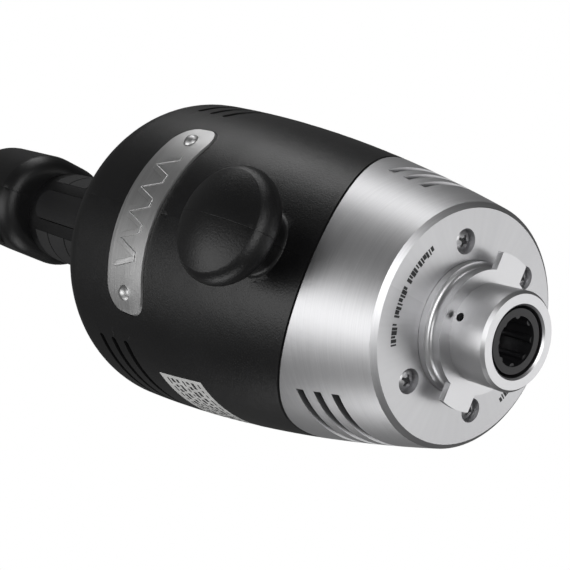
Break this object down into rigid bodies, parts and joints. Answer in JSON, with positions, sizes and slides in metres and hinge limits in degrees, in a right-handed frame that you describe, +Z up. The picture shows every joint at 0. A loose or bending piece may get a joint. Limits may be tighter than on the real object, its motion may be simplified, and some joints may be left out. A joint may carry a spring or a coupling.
{
  "type": "hand blender power head",
  "caption": "Power head of a hand blender: barrel housing with a front knob and trigger grip, vented steel collar and bayonet spigot with a splined drive socket.",
  "frame": {"origin": "on the drive axis at the seating face of the spigot, where the nose meets the bayonet flange", "axes": "+Z up the drive axis from the spigot to the grip, -Y to the front where the knob and trigger are, X = 0 is the mould parting plane"},
  "size_m": [0.127, 0.1381, 0.4199],
  "materials": {
    "black_moulding": "satin, fine grain",
    "collar_steel": "brushed around the barrel",
    "seal_rubber": "matt",
    "filter_mesh": "fine black mesh",
    "turned_aluminium": "turned",
    "screw_steel": "bright",
    "bearing_steel": "ground",
    "lamination_steel": "varnished laminations",
    "copper_windings": "enamelled copper",
    "commutator_copper": "turned copper",
    "cast_bracket": "die cast",
    "holder_brass": "plain",
    "carbon": "dense grey carbon",
    "spring_steel": "drawn wire",
    "plate_aluminium": "satin",
    "label_film": "printed film",
    "board_laminate": "solder mask",
    "capacitor_case": "moulded",
    "switch_plastic": "moulded",
    "grip_rubber": "soft touch",
    "shaft_steel": "ground",
    "fan_plastic": "moulded",
    "socket_polymer": "tough moulded polymer",
    "control_plastic": "satin",
    "plunger_plastic": "moulded"
  },
  "bodies": {
    "motor_pack": {"housing_right": "black_moulding", "housing_left": "black_moulding", "collar": "collar_steel", "collar_gasket": "seal_rubber", "collar_filters": "filter_mesh", "housing_filters": "filter_mesh", "spigot_hub": "turned_aluminium", "face_screws": "screw_steel", "spigot_grub_screw": "screw_steel", "shaft_seal": "seal_rubber", "lower_bearing": "bearing_steel", "bearing_circlip": "screw_steel", "stator_core": "lamination_steel", "field_coils": "copper_windings", "bearing_bracket": "cast_bracket", "stator_bolts": "screw_steel", "upper_bearing": "bearing_steel", "brush_holders": "holder_brass", "carbon_brushes": "carbon", "brush_springs": "spring_steel", "nameplate": "plate_aluminium", "nameplate_rivets": "plate_aluminium", "rating_label": "label_film", "speed_board": "board_laminate", "suppression_capacitor": "capacitor_case", "trigger_switch": "switch_plastic", "terminal_block": "switch_plastic", "grip_pads": "grip_rubber", "trigger_pin": "screw_steel", "trigger_spring": "spring_steel", "housing_screws": "screw_steel", "cord_gland": "seal_rubber", "lock_spring": "spring_steel"},
    "rotor": {"armature_shaft": "shaft_steel", "armature_core": "lamination_steel", "armature_windings": "copper_windings", "commutator": "commutator_copper", "cooling_fan": "fan_plastic", "drive_socket": "socket_polymer", "socket_pin": "screw_steel"},
    "trigger_lever": {"trigger": "control_plastic"},
    "plunger": {"switch_plunger": "plunger_plastic"},
    "lock": {"lock_button": "control_plastic"},
    "dial": {"speed_dial": "control_plastic"}
  },
  "joints": [
    {"name": "rotor_spin", "type": "hinge", "parent": "motor_pack", "child": "rotor", "pos_m": [0, 0, 0], "axis": [0, 0, 1], "continuous": true},
    {"name": "trigger_pull", "type": "hinge", "parent": "motor_pack", "child": "trigger_lever", "pos_m": [0, -0.00679, 0.3062], "axis": [1, 0, 0], "range_deg": [0, 5], "stiffness_Nm_per_rad": 1.2, "springref_deg": -4.58},
    {"name": "plunger_slide", "type": "slide", "parent": "motor_pack", "child": "plunger", "axis": [0, 0.9962, 0.0872], "range_m": [0, 0.00315]},
    {"name": "lock_push", "type": "slide", "parent": "motor_pack", "child": "lock", "axis": [1, 0, 0], "range_m": [0, 0.002], "stiffness_N_per_m": 1500, "springref_m": -0.002, "deforming": ["lock_spring"]},
    {"name": "dial_turn", "type": "hinge", "parent": "motor_pack", "child": "dial", "pos_m": [0, -0.01541, 0.38174], "axis": [0, -0.0872, 0.9962], "range_deg": [-135, 135]}
  ],
  "couplings": [
    {"joint": "plunger_slide", "follows": "trigger_pull", "m_per_rad": 0.036}
  ]
}
